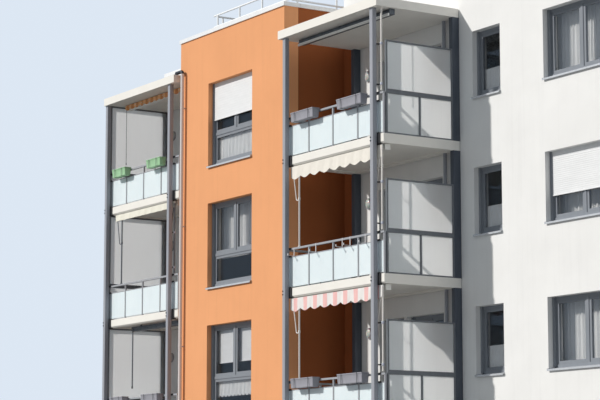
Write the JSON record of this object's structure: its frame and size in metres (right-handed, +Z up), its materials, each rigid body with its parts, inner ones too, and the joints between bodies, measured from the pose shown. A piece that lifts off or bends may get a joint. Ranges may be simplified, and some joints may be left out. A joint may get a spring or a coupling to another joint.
{
  "type": "apartment block",
  "caption": "Flat-roofed apartment block with an orange projecting bay, steel-mast balcony towers with frosted glass railings and a white wing with dark-framed windows.",
  "frame": {"origin": "on the ground under the middle of the main body, which leaves out the bay and the balconies", "axes": "+X along the street front to the right as seen from the street, +Y from the street into the building, +Z up"},
  "size_m": [20.61, 14.5, 13.39],
  "materials": {
    "concrete": "bare concrete",
    "roofing": "fine gravel",
    "white_plaster": "matt fine render",
    "orange_plaster": "matt fine render",
    "coping_metal": "light satin coat",
    "galvanised": "galvanised",
    "window_frame": "anthracite satin",
    "window_glass": "clear double glazing",
    "sill_metal": "light satin coat",
    "blind": "white slats",
    "curtain": "thin net",
    "mast_metal": "anthracite satin",
    "balcony_concrete": "painted precast concrete",
    "railing_metal": "grey satin",
    "frosted_glass": "frosted",
    "awning_case": "anthracite satin",
    "awning_metal": "light satin coat",
    "awning_cloth": "woven canvas",
    "lamp": "round lamp with a white cover",
    "pipe": "coated pipe",
    "planter": "matt plastic"
  },
  "bodies": {
    "root": {"ground_slab": "concrete", "entrance_steps": "concrete", "first_floor": "concrete", "second_floor": "concrete", "third_floor": "concrete", "roof_slab": "roofing", "high_roof_deck": "roofing", "white_front_wall": "white_plaster", "orange_corner_wall": "orange_plaster", "left_recess_wall": "white_plaster", "bay_front_wall": "orange_plaster", "bay_left_wall": "orange_plaster", "bay_right_wall": "orange_plaster", "left_end_wall": "white_plaster", "right_end_wall": "white_plaster", "low_back_wall": "white_plaster", "high_back_wall": "white_plaster", "roof_step_wall": "white_plaster", "copings": "coping_metal", "roof_railing": "galvanised", "bay_window_frames": "window_frame", "front_window_frames": "window_frame", "balcony_window_frames": "window_frame", "end_and_back_window_frames": "window_frame", "entrance_door": "window_frame", "window_glass": "window_glass", "window_sills": "sill_metal", "roller_blinds": "blind", "curtains": "curtain", "left_tower_masts": "mast_metal", "right_tower_masts": "mast_metal", "left_balcony_slabs": "balcony_concrete", "right_balcony_slabs": "balcony_concrete", "tower_roofs": "balcony_concrete", "left_railings": "railing_metal", "right_railings": "railing_metal", "railing_glass": "frosted_glass", "side_screen_frames": "railing_metal", "side_screen_glass": "frosted_glass", "awning_cases": "awning_case", "awning_arms": "awning_metal", "awning_valances": "awning_cloth", "wall_lamps": "lamp", "drain_pipes": "pipe", "planter_boxes": "planter"}
  },
  "joints": []
}
